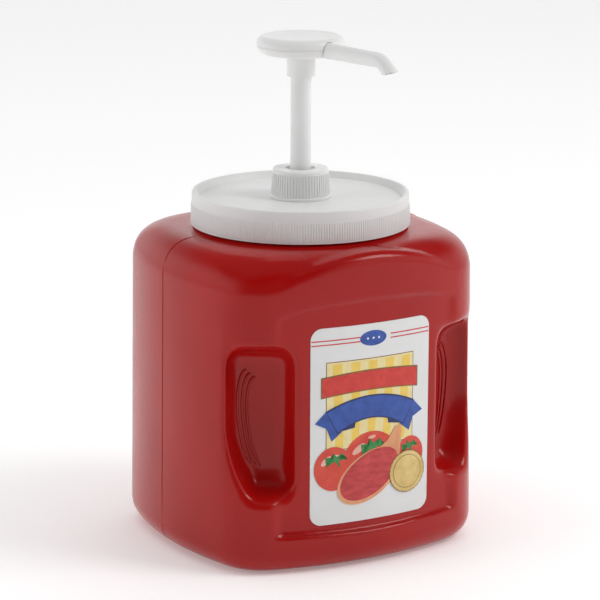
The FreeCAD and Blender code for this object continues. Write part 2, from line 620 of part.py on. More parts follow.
def inlet_body():
    """Plug in the cylinder's foot with the inlet valve's seat and the dip tube's socket."""
    cone_top = CYLINDER_BOTTOM_Z + 2.0
    cone_foot = cone_top - (INLET_CHAMBER_R - INLET_BORE_R)
    socket_r, socket_z = DIP_TUBE_R + DIP_SOCKET_WALL, DIP_TUBE_TOP_Z - DIP_SOCKET_DEPTH
    return revolve([
        (DIP_TUBE_R, socket_z), (socket_r, socket_z), (socket_r, INLET_FLANGE_Z),
        (CYLINDER_R, INLET_FLANGE_Z), (CYLINDER_R, CYLINDER_BOTTOM_Z),
        (BORE_R - RUNNING_GAP, CYLINDER_BOTTOM_Z), (BORE_R - RUNNING_GAP, INLET_TOP_Z),
        (INLET_CHAMBER_R, INLET_TOP_Z), (INLET_CHAMBER_R, cone_top), (INLET_BORE_R, cone_foot),
        (INLET_BORE_R, DIP_TUBE_TOP_Z), (DIP_TUBE_R, DIP_TUBE_TOP_Z)])


def seated_ball(ball_r, chamber_r, cone_top):
    """Ball at rest in a 45 degree seat, and the height of its centre."""
    apex = cone_top - chamber_r
    centre = apex + ball_r * math.sqrt(2) + 0.05
    return Part.makeSphere(ball_r, V(0, 0, centre)), centre


def inlet_ball():
    """Ball that closes the inlet on the down stroke."""
    return seated_ball(INLET_BALL_R, INLET_CHAMBER_R, CYLINDER_BOTTOM_Z + 2.0)[0]


def holed_disc(r, z0, z1, hole_r, hole_circle, count):
    """Disc with a ring of through holes."""
    disc = rod(r, z0, z1)
    for hole in range(count):
        angle = 2 * math.pi * hole / count
        x, y = hole_circle * math.cos(angle), hole_circle * math.sin(angle)
        disc = disc.cut(rod(hole_r, z0 - 1.0, z1 + 1.0, x, y))
    return disc


def inlet_cage():
    """Perforated disc over the inlet ball that also carries the spring's foot."""
    disc = holed_disc(BORE_R - RUNNING_GAP, INLET_TOP_Z, SPRING_Z0, 1.9, 5.0, 5)
    return fuse(disc, tube(SPRING_R - SPRING_WIRE_R - 1.5, SPRING_R - SPRING_WIRE_R - 0.3,
                           SPRING_Z0, SPRING_Z0 + 2.0))


def dip_tube():
    """Straight tube to the bottom of the jug, cut at an angle at its foot."""
    pipe = tube(DIP_TUBE_R - DIP_TUBE_WALL, DIP_TUBE_R, DIP_TUBE_BOTTOM_Z, DIP_TUBE_TOP_Z)
    wedge = Part.makeBox(60.0, 60.0, 60.0, V(-30.0, -30.0, -60.0))
    wedge.rotate(V(0, 0, 0), V(0, 1, 0), DIP_TUBE_CUT_DEG)
    reach = DIP_TUBE_R * math.tan(math.radians(DIP_TUBE_CUT_DEG))
    wedge.translate(V(0, 0, DIP_TUBE_BOTTOM_Z + reach))
    return pipe.cut(wedge)


def return_spring():
    """Coil from the cage to the piston."""
    z0, z1 = SPRING_Z0 + SPRING_WIRE_R, PISTON_Z - SPRING_WIRE_R
    spine = Part.makeHelix((z1 - z0) / SPRING_TURNS, z1 - z0, SPRING_R)
    angles = [2 * math.pi * side / WIRE_SIDES for side in range(WIRE_SIDES + 1)]
    profile = Part.makePolygon([
        V(SPRING_R + SPRING_WIRE_R * math.cos(a), 0, SPRING_WIRE_R * math.sin(a)) for a in angles])
    coil = Part.Wire(spine.Edges).makePipeShell([profile], True, True)
    coil.translate(V(0, 0, z0))
    return coil


def piston():
    """Piston with a seal groove, the outlet valve's seat and a socket for the stem."""
    cone_foot = PISTON_Z + PISTON_FLOOR
    cone_top = cone_foot + OUTLET_CHAMBER_R - PISTON_INLET_R
    seal_z0, seal_z1 = PISTON_Z + SEAL_Z[0], PISTON_Z + SEAL_Z[1]
    socket = STEM_R + RUNNING_GAP
    return revolve([
        (PISTON_INLET_R, PISTON_Z), (PISTON_R, PISTON_Z), (PISTON_R, seal_z0),
        (SEAL_GROOVE_R, seal_z0), (SEAL_GROOVE_R, seal_z1), (PISTON_R, seal_z1),
        (PISTON_R, PISTON_TOP_Z), (PISTON_HUB_R, PISTON_TOP_Z), (PISTON_HUB_R, HUB_TOP_Z),
        (socket, HUB_TOP_Z), (socket, STEM_BOTTOM_Z), (OUTLET_CHAMBER_R, STEM_BOTTOM_Z),
        (OUTLET_CHAMBER_R, cone_top), (PISTON_INLET_R, cone_foot)])


def piston_seal():
    """Double-lipped ring in the piston's groove, a running fit in the cylinder."""
    z0, z1 = PISTON_Z + SEAL_Z[0], PISTON_Z + SEAL_Z[1]
    lip = BORE_R - RUNNING_GAP
    waist = PISTON_R - 0.2
    return revolve([
        (SEAL_GROOVE_R, z0), (waist, z0), (lip, z0 + 0.8), (lip, z0 + 1.6), (waist, z0 + 2.4),
        (waist, z1 - 2.4), (lip, z1 - 1.6), (lip, z1 - 0.8), (waist, z1), (SEAL_GROOVE_R, z1)])


def outlet_ball():
    """Ball that closes the outlet on the up stroke."""
    cone_top = PISTON_Z + PISTON_FLOOR + OUTLET_CHAMBER_R - PISTON_INLET_R
    return seated_ball(OUTLET_BALL_R, OUTLET_CHAMBER_R, cone_top)[0]


def outlet_cage():
    """Perforated disc under the stem that holds the outlet ball down."""
    return holed_disc(OUTLET_CHAMBER_R, STEM_BOTTOM_Z - OUTLET_CAGE, STEM_BOTTOM_Z, 0.9, 2.6, 6)


def stem():
    """Hollow plunger tube from the piston to the spout's socket."""
    return tube(STEM_BORE_R, STEM_R, STEM_BOTTOM_Z + RUNNING_GAP, STEM_TOP_Z)


# ---- head ----------------------------------------------------------------------------------
def turned(shape):
    """The spout's direction at rest: a shape modelled towards +X turned to its azimuth."""
    copy = shape.copy()
    copy.rotate(V(0, 0, 0), UP, SPOUT_AZIMUTH - 90.0)
    return copy


def spout_path(r_root, r_end, start, tip):
    """Solid round run along +X, its bend and its tip."""
    run = Part.makeCone(r_root, r_end, SPOUT_RUN - start, V(start, 0, SPOUT_Z), V(1, 0, 0))
    bend_axis = V(SPOUT_RUN, 0, SPOUT_Z - SPOUT_BEND_R)
    disc = Part.Face(Part.Wire([Part.makeCircle(r_end, V(SPOUT_RUN, 0, SPOUT_Z), V(1, 0, 0))]))
    bend = disc.revolve(bend_axis, V(0, 1, 0), SPOUT_BEND_DEG)
    angle = math.radians(SPOUT_BEND_DEG)
    end = bend_axis + V(SPOUT_BEND_R * math.sin(angle), 0, SPOUT_BEND_R * math.cos(angle))
    tip_rod = Part.makeCylinder(r_end, tip, end, V(math.cos(angle), 0, -math.sin(angle)))
    return run, bend, tip_rod, end, angle


def spout():
    """Spout with a socket for the stem, a level run and a turned-down, cut tip."""
    run, bend, tip, end, angle = spout_path(SPOUT_ROOT_R, SPOUT_END_R, 0.0, SPOUT_TIP + 8.0)
    socket = rod(SLEEVE_R, SLEEVE_Z, PALM_CEILING_Z)
    body = fuse(run, bend, tip, socket)
    bore_parts = spout_path(SPOUT_BORE_ROOT_R, SPOUT_BORE_R, 0.0, SPOUT_TIP + 12.0)[:3]
    for part in bore_parts:
        body = body.cut(part)
    body = body.cut(rod(STEM_BORE_R, SLEEVE_Z, SPOUT_Z)).cut(rod(STEM_R, SLEEVE_Z, STEM_TOP_Z))
    middle = end + V(math.cos(angle), 0, -math.sin(angle)) * SPOUT_TIP
    waste = Part.makeBox(60.0, 40.0, 30.0, V(-30.0, -20.0, -30.0))
    waste.rotate(V(0, 0, 0), V(0, 1, 0), -SPOUT_CUT_DEG)
    waste.translate(middle)
    near_tip = Part.makeBox(40.0, 40.0, 40.0, V(SPOUT_RUN, -20.0, SPOUT_Z - 35.0))
    return turned(body.cut(waste.common(near_tip)))


def spout_hole():
    """Room for the spout through the palm disc's shells."""
    return turned(Part.makeCylinder(SPOUT_ROOT_R + RUNNING_GAP, PALM_R + 5.0, V(0, 0, SPOUT_Z), V(1, 0, 0)))


def palm_cap():
    """Upper shell of the palm disc, slightly dished."""
    z0, split = PALM_SPLIT_Z, PALM_SPLIT_CHAMFER
    shell = revolve([
        (PALM_R - split, z0), (PALM_R, z0 + split),
        (PALM_R - 0.75, z0 + 3.3, PALM_TOP_R, PALM_TOP_Z), (0, PALM_TOP_Z),
        (0, PALM_CEILING_Z), (PALM_TOP_R - 1.4, PALM_CEILING_Z),
        (PALM_R - PALM_WALL, z0 + 1.2), (PALM_R - PALM_WALL, z0)])
    dish_r = (PALM_TOP_R ** 2 + PALM_DISH ** 2) / (2 * PALM_DISH)
    dish = Part.makeSphere(dish_r, V(0, 0, PALM_TOP_Z - PALM_DISH + dish_r))
    return shell.cut(dish).cut(spout_hole())


def palm_base():
    """Lower shell of the palm disc, with the boss that grips the stem."""
    z1, split = PALM_SPLIT_Z, PALM_SPLIT_CHAMFER
    shell = revolve([
        (STEM_R, BOSS_BOTTOM_Z), (BOSS_R, BOSS_BOTTOM_Z), (BOSS_R, PALM_BOTTOM_Z),
        (PALM_R - 5.2, PALM_BOTTOM_Z), (PALM_R - 1.2, PALM_BOTTOM_Z + 1.7, PALM_R, z1 - split),
        (PALM_R - split, z1), (PALM_R - PALM_WALL, z1), (PALM_R - PALM_WALL, z1 - 1.6),
        (PALM_R - 5.6, PALM_FLOOR_Z), (SLEEVE_R, PALM_FLOOR_Z), (SLEEVE_R, SLEEVE_Z),
        (STEM_R, SLEEVE_Z)])
    return shell.cut(spout_hole())


NODES = {
    "jug_body": jug_body,
    "front_label": front_label,
    "lid": lid,
    "lid_liner": lid_liner,
    "lid_gasket": lid_gasket,
    "pump_collar": pump_collar,
    "stem_guide": stem_guide,
    "stem_wiper": stem_wiper,
    "pump_housing": pump_housing,
    "inlet_body": inlet_body,
    "inlet_ball": inlet_ball,
    "inlet_cage": inlet_cage,
    "dip_tube": dip_tube,
    "return_spring": return_spring,
    "piston": piston,
    "piston_seal": piston_seal,
    "outlet_ball": outlet_ball,
    "outlet_cage": outlet_cage,
    "stem": stem,
    "spout": spout,
    "palm_cap": palm_cap,
    "palm_base": palm_base,
}


def main():
    """Build every piece and write one STEP file each."""
    os.makedirs("parts", exist_ok=True)
    for name, make in NODES.items():
        shape = make()
        box = shape.BoundBox
        print(f"{name:14s} valid {shape.isValid()} solids {len(shape.Solids)} "
              f"volume {shape.Volume:10.1f} z {box.ZMin:7.2f} to {box.ZMax:7.2f}")
        shape.exportStep(f"parts/{name}.step")


main()
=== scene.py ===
import json
import math

import bmesh
import bpy
import numpy as np
from mathutils import Matrix, Vector
from mathutils.bvhtree import BVHTree


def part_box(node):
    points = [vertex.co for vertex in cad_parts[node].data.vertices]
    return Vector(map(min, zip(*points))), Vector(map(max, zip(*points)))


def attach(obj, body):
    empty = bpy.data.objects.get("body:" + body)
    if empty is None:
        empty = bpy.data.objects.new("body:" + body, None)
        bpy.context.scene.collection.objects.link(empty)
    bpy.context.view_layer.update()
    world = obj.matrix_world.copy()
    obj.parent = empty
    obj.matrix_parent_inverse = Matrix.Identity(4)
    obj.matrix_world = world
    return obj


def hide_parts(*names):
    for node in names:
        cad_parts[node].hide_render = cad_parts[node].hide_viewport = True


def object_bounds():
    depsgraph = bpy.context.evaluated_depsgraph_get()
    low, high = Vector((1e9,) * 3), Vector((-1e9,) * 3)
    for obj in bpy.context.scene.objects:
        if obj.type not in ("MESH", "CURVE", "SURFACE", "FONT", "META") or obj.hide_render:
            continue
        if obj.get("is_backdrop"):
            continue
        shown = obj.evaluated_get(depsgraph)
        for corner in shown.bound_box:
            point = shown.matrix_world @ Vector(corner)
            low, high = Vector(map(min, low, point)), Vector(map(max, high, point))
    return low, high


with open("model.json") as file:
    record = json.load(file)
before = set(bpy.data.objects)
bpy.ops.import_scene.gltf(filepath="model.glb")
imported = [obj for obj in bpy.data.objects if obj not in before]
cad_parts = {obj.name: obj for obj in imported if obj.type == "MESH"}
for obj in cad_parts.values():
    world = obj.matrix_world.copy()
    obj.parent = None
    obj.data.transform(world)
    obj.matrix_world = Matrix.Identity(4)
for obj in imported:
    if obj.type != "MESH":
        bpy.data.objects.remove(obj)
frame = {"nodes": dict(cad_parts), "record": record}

MM = 0.001
NODES = frame["nodes"]
CAD_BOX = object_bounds()
LABEL_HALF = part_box("front_label")[1].x / MM


# ---- node helpers --------------------------------------------------------------------------
def new_material(name, color, roughness, **sockets):
    """Principled material; further sockets are given by their name with _ for spaces."""
    material = bpy.data.materials.new(name)
    material.use_nodes = True
    shader = material.node_tree.nodes["Principled BSDF"]
    shader.inputs["Base Color"].default_value = (*color, 1)
    shader.inputs["Roughness"].default_value = roughness
    for socket, value in sockets.items():
        shader.inputs[socket.replace("_", " ")].default_value = value
    return material, material.node_tree, shader


def place(tree, scale=(1, 1, 1)):
    """Position in the object's own frame, stretched by scale."""
    coordinates = tree.nodes.new("ShaderNodeTexCoord")
    mapping = tree.nodes.new("ShaderNodeMapping")
    mapping.inputs["Scale"].default_value = scale
    tree.links.new(coordinates.outputs["Object"], mapping.inputs["Vector"])
    return mapping.outputs["Vector"]


def noise(tree, scale, detail=3.0, roughness=0.5, stretch=(1, 1, 1)):
    """Noise value, scale in features per metre."""
    node = tree.nodes.new("ShaderNodeTexNoise")
    node.inputs["Scale"].default_value = scale
    node.inputs["Detail"].default_value = detail
    node.inputs["Roughness"].default_value = roughness
    tree.links.new(place(tree, stretch), node.inputs["Vector"])
    return node.outputs["Fac"]


def spread(tree, value, low, high):
    """A 0 to 1 value mapped to low to high."""
    node = tree.nodes.new("ShaderNodeMapRange")
    node.inputs["From Min"].default_value = 0.25
    node.inputs["From Max"].default_value = 0.75
    node.inputs["To Min"].default_value = low
    node.inputs["To Max"].default_value = high
    tree.links.new(value, node.inputs["Value"])
    return node.outputs["Result"]


def tint(tree, value, dark, light):
    """Colour between dark and light by a 0 to 1 value."""
    ramp = tree.nodes.new("ShaderNodeValToRGB")
    ramp.color_ramp.elements[0].color = (*dark, 1)
    ramp.color_ramp.elements[1].color = (*light, 1)
    ramp.color_ramp.elements[0].position = 0.3
    ramp.color_ramp.elements[1].position = 0.7
    tree.links.new(value, ramp.inputs["Fac"])
    return ramp.outputs["Color"]


def bump(tree, shader, heights):
    """Bumps stacked on the shader's normal: pairs of a height socket and its depth in metres."""
    normal = None
    for height, depth in heights:
        node = tree.nodes.new("ShaderNodeBump")
        node.inputs["Distance"].default_value = depth
        node.inputs["Strength"].default_value = 1.0
        tree.links.new(height, node.inputs["Height"])
        if normal is not None:
            tree.links.new(normal, node.inputs["Normal"])
        normal = node.outputs["Normal"]
    tree.links.new(normal, shader.inputs["Normal"])


# ---- materials -----------------------------------------------------------------------------
def jug_plastic():
    """Glossy blow-moulded plastic: slow waves in the wall, cloudy depth and a fine skin."""
    material, tree, shader = new_material(
        "jug_plastic", (0.37, 0.003, 0.003), 0.2,
        Specular_IOR_Level=0.36, Coat_Weight=0.04, Coat_Roughness=0.08)
    shader.inputs["Specular Tint"].default_value = (1.0, 0.86, 0.82, 1)
    tree.links.new(tint(tree, noise(tree, 18, 2), (0.34, 0.002, 0.002), (0.40, 0.005, 0.004)),
                   shader.inputs["Base Color"])
    tree.links.new(spread(tree, noise(tree, 60, 4), 0.17, 0.25), shader.inputs["Roughness"])
    bump(tree, shader, [(noise(tree, 14, 1), 0.0006), (noise(tree, 700, 2), 0.00001)])
    return material


def white_plastic(name, tone, roughness):
    """Satin moulded plastic with a fine spark-eroded grain."""
    material, tree, shader = new_material(name, (tone, tone, tone), roughness,
                                          Subsurface_Weight=0.08, Subsurface_Scale=0.003)
    shader.inputs["Subsurface Radius"].default_value = (1.0, 0.9, 0.8)
    light = (tone, tone, tone * 0.995)
    dark = (tone * 0.965, tone * 0.965, tone * 0.955)
    tree.links.new(tint(tree, noise(tree, 45, 3), dark, light), shader.inputs["Base Color"])
    tree.links.new(spread(tree, noise(tree, 150, 3), roughness - 0.05, roughness + 0.06),
                   shader.inputs["Roughness"])
    bump(tree, shader, [(noise(tree, 2500, 2), 0.00002)])
    return material


def simple(name, color, roughness, grain, depth, metallic=0.0):
    """Small inner parts: one colour with a little grain."""
    material, tree, shader = new_material(name, color, roughness, Metallic=metallic)
    dark = tuple(c * 0.9 for c in color)
    tree.links.new(tint(tree, noise(tree, grain / 8, 3), dark, color), shader.inputs["Base Color"])
    tree.links.new(spread(tree, noise(tree, grain / 3, 3), roughness - 0.04, roughness + 0.06),
                   shader.inputs["Roughness"])
    bump(tree, shader, [(noise(tree, grain, 3), depth)])
    return material


def ink(name, dark, light, scale=220, stretch=(1, 1, 1)):
    """Printed colour under the label's varnish, mottled between two tones."""
    material, tree, shader = new_material("ink_" + name, light, 0.38)
    tree.links.new(tint(tree, noise(tree, scale, 4, 0.6, stretch), dark, light),
                   shader.inputs["Base Color"])
    tree.links.new(spread(tree, noise(tree, 400, 3), 0.34, 0.44), shader.inputs["Roughness"])
    bump(tree, shader, [(noise(tree, 1800, 2), 0.000008)])
    return material


def paint_nodes():
    """Material of every CAD node, by the record's slots."""
    made = {
        "jug_plastic": jug_plastic(),
        "label_paper": white_plastic("label_paper", 0.82, 0.42),
        "lid_plastic": white_plastic("lid_plastic", 0.8, 0.42),
        "pump_plastic": white_plastic("pump_plastic", 0.84, 0.36),
        "housing_plastic": white_plastic("housing_plastic", 0.78, 0.4),
        "liner_foam": simple("liner_foam", (0.8, 0.8, 0.78), 0.8, 1500, 0.00015),
        "seal_rubber": simple("seal_rubber", (0.62, 0.62, 0.6), 0.55, 1800, 0.00003),
        "ball_steel": simple("ball_steel", (0.62, 0.62, 0.64), 0.16, 2500, 0.000003, 1.0),
        "spring_steel": simple("spring_steel", (0.55, 0.55, 0.57), 0.28, 2500, 0.000006, 1.0),
    }
    for part in frame["record"]["subparts"]:
        node = NODES[part["node"]]
        node.data.materials.clear()
        node.data.materials.append(made[part["material_slot"]])
        for polygon in node.data.polygons:
            polygon.use_smooth = True
    return made


# ---- mesh helpers --------------------------------------------------------------------------
def add_piece(name, mesh, material, body, smooth=True):
    """Object of the mesh, riding on a body."""
    thing = bpy.data.objects.new(name, mesh)
    bpy.context.scene.collection.objects.link(thing)
    mesh.materials.append(material)
    for polygon in mesh.polygons:
        polygon.use_smooth = smooth
    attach(thing, body)
    return thing


def mesh_of(name, vertices, faces):
    """Mesh whose faces all look outwards."""
    mesh = bpy.data.meshes.new(name)
    mesh.from_pydata(vertices, [], faces)
    form = bmesh.new()
    form.from_mesh(mesh)
    bmesh.ops.recalc_face_normals(form, faces=form.faces)
    form.to_mesh(mesh)
    form.free()
    return mesh


def tubes(paths, radius, sides=8):
    """Vertices and faces of closed round tubes along lists of points."""
    vertices, faces = [], []
    for path in paths:
        first = len(vertices)
        for i, point in enumerate(path):
            along = (path[min(i + 1, len(path) - 1)] - path[max(i - 1, 0)]).normalized()
            across = along.cross(Vector((0.31, 0.95, 0.05))).normalized()
            over = along.cross(across)
            end_share = min(i, len(path) - 1 - i, 2) / 2
            r = radius * (0.45 + 0.55 * end_share)
            for side in range(sides):
                angle = 2 * math.pi * side / sides
                vertices.append(point + (across * math.cos(angle) + over * math.sin(angle)) * r)
        for i in range(len(path) - 1):
            for side in range(sides):
                a, b = first + i * sides + side, first + i * sides + (side + 1) % sides
                faces.append((a, b, b + sides, a + sides))
        faces.append(tuple(first + side for side in range(sides)))
        faces.append(tuple(first + (len(path) - 1) * sides + side for side in range(sides)))
    return vertices, faces


def bezier(points, count):
    """Points along a smooth curve of any degree with these control points."""
    curve = []
    for step in range(count):
        t = step / (count - 1)
        row = list(points)
        while len(row) > 1:
            row = [a.lerp(b, t) for a, b in zip(row, row[1:])]
        curve.append(row[0])
    return curve


# ---- jug -----------------------------------------------------------------------------------
VOXEL = 1.0 * MM
SOFT_STEPS = 70              # smoothing steps where the edges are roundest
FIRM_SHARE = 0.05            # share of those steps on the rest of the jug
KEPT_SHARE = 0.1             # share of the faces left after thinning
NECK_SHARE = 0.02            # share of the smoothing steps on the neck
NECK_START = 161.5 * MM      # height where the neck begins
GRIP_SIDE = 36 * MM          # the recesses lie beyond this, to either side
GRIP_FRONT = -46 * MM        # and in front of this
GRIP_LOW, GRIP_HIGH = 30 * MM, 124 * MM
GRIP_LEAD = 12 * MM          # the softness fades in over this distance
GRIP_FACING = math.radians(59.3)     # direction into a recess, from the X axis
GRIP_CENTRE = (57.3, -60.4)  # middle of the right recess's mouth, millimetres
RIB_PITCH = 2.3              # between the recess's ribs, millimetres
RIB_R = 0.75 * MM
SEAM_Y = 1.5 * MM            # plane where the mould's halves meet
SEAM_R = 0.28 * MM
RAY_START = 0.2              # metres from the axis or above the jug, outside everything


def grip_nearness(points):
    """1 in and around the finger recesses, falling to 0 over a few millimetres."""
    x, y, z = np.abs(points[:, 0]), points[:, 1], points[:, 2]
    depths = [x - GRIP_SIDE, GRIP_FRONT - y, z - GRIP_LOW, GRIP_HIGH - z]
    return np.clip(np.min(depths, axis=0) / GRIP_LEAD, 0, 1)


def soft_jug(material):
    """The jug with every edge rolled as a blown wall rolls it, the recesses' lips most of all."""
    thing = NODES["jug_body"]
    remesh = thing.modifiers.new("even", "REMESH")
    remesh.mode = "VOXEL"
    remesh.voxel_size = VOXEL
    graph = bpy.context.evaluated_depsgraph_get()
    mesh = bpy.data.meshes.new_from_object(thing.evaluated_get(graph))
    thing.modifiers.remove(remesh)
    mesh.name = "jug_shell"
    count = len(mesh.vertices)
    points = np.empty(count * 3)
    mesh.vertices.foreach_get("co", points)
    points = points.reshape(-1, 3)
    edges = np.empty(len(mesh.edges) * 2, int)
    mesh.edges.foreach_get("vertices", edges)
    a, b = edges[0::2], edges[1::2]
    links = np.bincount(a, minlength=count) + np.bincount(b, minlength=count)
    neck = points[:, 2] > NECK_START
    share = FIRM_SHARE + (1 - FIRM_SHARE) * grip_nearness(points)
    share[neck] = NECK_SHARE
    for step in range(SOFT_STEPS):
        moving = share > step / SOFT_STEPS
        mean = np.empty_like(points)
        for axis in range(3):
            column = points[:, axis]
            total = np.bincount(a, column[b], count) + np.bincount(b, column[a], count)
            mean[:, axis] = total / links
        points[moving] += 0.5 * (mean[moving] - points[moving])
    mesh.vertices.foreach_set("co", points.ravel())
    mesh.update()
    mesh.materials.clear()
    jug = add_piece("jug_shell", mesh, material, "jug")
    thin = jug.modifiers.new("thin", "DECIMATE")
    thin.ratio = KEPT_SHARE
    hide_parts("jug_body")
    return jug


def surface_finder(thing):
    """Function that finds where a ray first meets the thing."""
    graph = bpy.context.evaluated_depsgraph_get()
    tree = BVHTree.FromObject(thing, graph)

    def find(origin, direction):
        return tree.ray_cast(origin, direction)[0]

    return find


def grip_ribs(find, material):
    """Three curved ribs on the outer side of each finger recess."""
    across, deep = math.cos(GRIP_FACING), math.sin(GRIP_FACING)
    paths = []
    for side in (-1, 1):
        inward = Vector((-side * across, deep, 0))
        along = Vector((-side * deep, -across, 0))
        centre = Vector((side * GRIP_CENTRE[0], GRIP_CENTRE[1], 0)) * MM
        for rib in range(3):
            shift, foot, top = RIB_PITCH * rib, 53.5 - 0.6 * rib, 101.5 - 1.8 * rib
            ends = [Vector((u + shift, z, 0)) for u, z in (
                (-4.6, foot), (-10.6, 61.0), (-14.2, 86.0), (-10.8, top), (-7.0, top))]
            path = []
            for u, z, _ in bezier(ends, 26):
                start = centre + along * (u * MM) + Vector((0, 0, z * MM)) - inward * (25 * MM)
                hit = find(start, inward)
                if hit is not None:
                    path.append(hit)
            paths.append(path)
    vertices, faces = tubes(paths, RIB_R)
    add_piece("grip_ribs", mesh_of("grip_ribs", vertices, faces), material, "jug")


def parting_line(find, material):
    """Fine bead where the mould's halves meet, up both sides and over the shoulder."""
    low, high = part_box("jug_body")
    paths = []
    for side in (-1, 1):
        path = []
        for step in range(60):
            z = (4 + 140 * step / 59) * MM
            path.append(find(Vector((side * RAY_START, SEAM_Y, z)), Vector((-side, 0, 0))))
        for step in range(1, 16):
            x = (78 - 20.5 * step / 15) * MM
            hit = find(Vector((side * x, SEAM_Y, RAY_START)), Vector((0, 0, -1)))
            if hit is not None and hit.z > path[-1].z + 0.2 * MM:
                path.append(hit)
        paths.append([point for point in path if point is not None])
    vertices, faces = tubes(paths, SEAM_R, 6)
    inside = [Vector(max(min(c, h), l) for c, l, h in zip(v, low, high)) for v in vertices]
    mesh = mesh_of("parting_line", inside, faces)
    add_piece("parting_line", mesh, material, "jug")


# ---- lid -----------------------------------------------------------------------------------
LID_RIB_COUNT = 264
LID_RIB_PROUD = 0.22 * MM    # the ribs stand this far off the skirt
LID_RIB_SUNK = 0.3 * MM      # and reach this far into it
LID_RIB_FOOT = 0.7 * MM      # above the skirt's edge
LID_RIB_TOP = 0.66           # share of the lid's height
LID_BOTTOM_R, LID_TOP_R = 56.0 * MM, 55.33 * MM


def lid_ribs(material):
    """Fine upright ribs round the lower part of the lid's side."""
    low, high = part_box("lid")
    height = high.z - low.z
    z0, z1 = low.z + LID_RIB_FOOT, low.z + LID_RIB_TOP * height

    def wall_r(z):
        return LID_BOTTOM_R + (LID_TOP_R - LID_BOTTOM_R) * (z - low.z) / height

    vertices, faces = [], []
    loop = []
    for z, lift in ((z0, 0.0), (z0 + 0.5 * MM, 1.0), (z1 - 0.7 * MM, 1.0), (z1, 0.0)):
        ring_of = []
        for rib in range(LID_RIB_COUNT):
            for share, level in ((0.0, 0), (0.18, 1), (0.5, 1), (0.68, 0)):
                angle = 2 * math.pi * (rib + share) / LID_RIB_COUNT
                r = wall_r(z) - 0.04 * MM + LID_RIB_PROUD * lift * level
                ring_of.append(len(vertices))
                vertices.append((r * math.cos(angle), r * math.sin(angle), z))
        loop.append(ring_of)
    steps = 4 * LID_RIB_COUNT
    for z in (z1, z0):
        ring_of = []
        for index in range(steps):
            angle = 2 * math.pi * index / steps
            r = wall_r(z) - LID_RIB_SUNK
            ring_of.append(len(vertices))
            vertices.append((r * math.cos(angle), r * math.sin(angle), z))
        loop.append(ring_of)
    for lower, upper in zip(loop, loop[1:] + loop[:1]):
        for index in range(steps):
            after = (index + 1) % steps
            faces.append((lower[index], lower[after], upper[after], upper[index]))
    mesh = mesh_of("lid_ribs", vertices, faces)
    add_piece("lid_ribs", mesh, material, "lid", False)


# ---- label ---------------------------------------------------------------------------------
LABEL_R = 185.3 * MM         # front of the label, on its bowed panel
LAYER = 0.05 * MM            # each printed layer stands this far above the one below
STRIP = 2.5 * MM             # flat width that is bent to the label's curve
ART_SHIFT = -1.5             # millimetres the print sits off the label's centre line


def ring(u, v, ru, rv, count=40, turn=0.0):
    """Ellipse on the label, millimetres from its centre line and from the base."""
    points = []
    for step in range(count):
        angle = 2 * math.pi * step / count
        x, y = ru * math.cos(angle), rv * math.sin(angle)
        points.append((u + x * math.cos(turn) - y * math.sin(turn),
                       v + x * math.sin(turn) + y * math.cos(turn)))
    return points


def arch(u0, u1, v_low, v_high, rise, count=24, tuck=0.0):
    """Band between two arcs that rise by rise in the middle."""
    low, high = [], []
    for step in range(count + 1):
        share = step / count
        lift = rise * (1 - (2 * share - 1) ** 2)
        inset = tuck * (2 * share - 1)
        low.append((u0 + (u1 - u0) * share - inset, v_low + lift))
        high.append((u0 + (u1 - u0) * share, v_high + lift))
    return low + high[::-1]


def box_of(u0, v0, u1, v1):
    """Plain rectangle."""
    return [(u0, v0), (u1, v0), (u1, v1), (u0, v1)]


def calyx(u, v, size, points=6, tilt=0.3):
    """Pointed green leaves round a stalk."""
    outline = []
    for step in range(2 * points):
        angle = math.pi * step / points + tilt
        reach = size * (1.0 if step % 2 else 0.28) * (1.15 - 0.3 * math.sin(angle))
        outline.append((u + reach * math.cos(angle) * 1.2, v + reach * math.sin(angle) * 0.8))
    return outline


def scallop(u, v, r, waves=28):
    """Round seal with a fluted edge."""
    points = []
    for step in range(4 * waves):
        angle = 2 * math.pi * step / (4 * waves)
        reach = r * (1 + 0.018 * math.cos(waves * angle))
        points.append((u + reach * math.cos(angle), v + reach * math.sin(angle)))
    return points


def printed(name, material, outlines, level, shift=ART_SHIFT):
    """Outlines as thin closed pieces bent to the label."""
    centre_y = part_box("front_label")[0].y + LABEL_R
    whole = bmesh.new()
    for outline in outlines:
        form = bmesh.new()
        corners = [form.verts.new(((u + shift) * MM, 0, v * MM)) for u, v in outline]
        face = form.faces.new(corners)
        bmesh.ops.triangulate(form, faces=[face])
        at = math.floor(min(c.co.x for c in corners) / STRIP) + 1
        last = max(c.co.x for c in corners)
        while at * STRIP < last:
            parts = form.verts[:] + form.edges[:] + form.faces[:]
            bmesh.ops.bisect_plane(
                form, geom=parts, plane_co=(at * STRIP, 0, 0), plane_no=(1, 0, 0))
            at += 1
        back = bmesh.ops.extrude_face_region(form, geom=form.faces[:])
        for vertex in (part for part in back["geom"] if isinstance(part, bmesh.types.BMVert)):
            vertex.co.y = 1.0
        for vertex in form.verts:
            r = LABEL_R + (level - 0.6 if vertex.co.y > 0.5 else level) * LAYER
            vertex.co.y = centre_y - math.sqrt(r * r - vertex.co.x ** 2)
        bmesh.ops.recalc_face_normals(form, faces=form.faces)
        scrap = bpy.data.meshes.new("scrap")
        form.to_mesh(scrap)
        form.free()
        whole.from_mesh(scrap)
        bpy.data.meshes.remove(scrap)
    mesh = bpy.data.meshes.new(name)
    whole.to_mesh(mesh)
    whole.free()
    add_piece(name, mesh, material, "jug", False)


